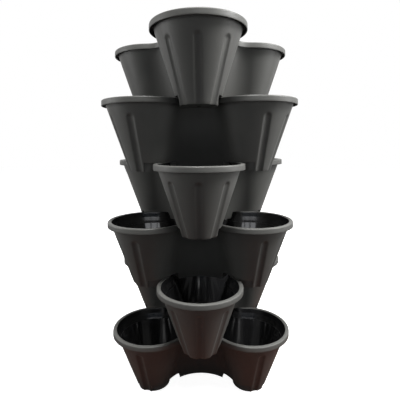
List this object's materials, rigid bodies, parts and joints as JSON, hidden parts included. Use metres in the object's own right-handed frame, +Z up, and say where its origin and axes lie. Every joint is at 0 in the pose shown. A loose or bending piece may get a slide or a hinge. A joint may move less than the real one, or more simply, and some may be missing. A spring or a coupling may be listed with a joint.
{
  "type": "vertical planter tower",
  "caption": "Free-standing planter tower of stacked clover-shaped plastic trays, each turned against the one below so that its pots overhang, and each lifting off.",
  "frame": {"origin": "on the floor, on the vertical axis that the trays are stacked on", "axes": "+Z up the stack; -Y to the front, where a pot of the top tray faces; +X to the right seen from the front"},
  "size_m": [0.3498, 0.378, 0.669],
  "materials": {
    "tray_plastic": "satin, moulded"
  },
  "bodies": {
    "tier_1_body": {"tier_1": "tray_plastic"},
    "tier_2_body": {"tier_2": "tray_plastic"},
    "tier_3_body": {"tier_3": "tray_plastic"},
    "tier_4_body": {"tier_4": "tray_plastic"},
    "tier_5_body": {"tier_5": "tray_plastic"},
    "tier_6_body": {"tier_6": "tray_plastic"}
  },
  "joints": [
    {"name": "tier_2_lift", "type": "slide", "parent": "tier_1_body", "child": "tier_2_body", "axis": [0, 0, 1], "range_m": [0, 0.06]},
    {"name": "tier_3_lift", "type": "slide", "parent": "tier_2_body", "child": "tier_3_body", "axis": [0, 0, 1], "range_m": [0, 0.06]},
    {"name": "tier_4_lift", "type": "slide", "parent": "tier_3_body", "child": "tier_4_body", "axis": [0, 0, 1], "range_m": [0, 0.06]},
    {"name": "tier_5_lift", "type": "slide", "parent": "tier_4_body", "child": "tier_5_body", "axis": [0, 0, 1], "range_m": [0, 0.06]},
    {"name": "tier_6_lift", "type": "slide", "parent": "tier_5_body", "child": "tier_6_body", "axis": [0, 0, 1], "range_m": [0, 0.06]}
  ]
}
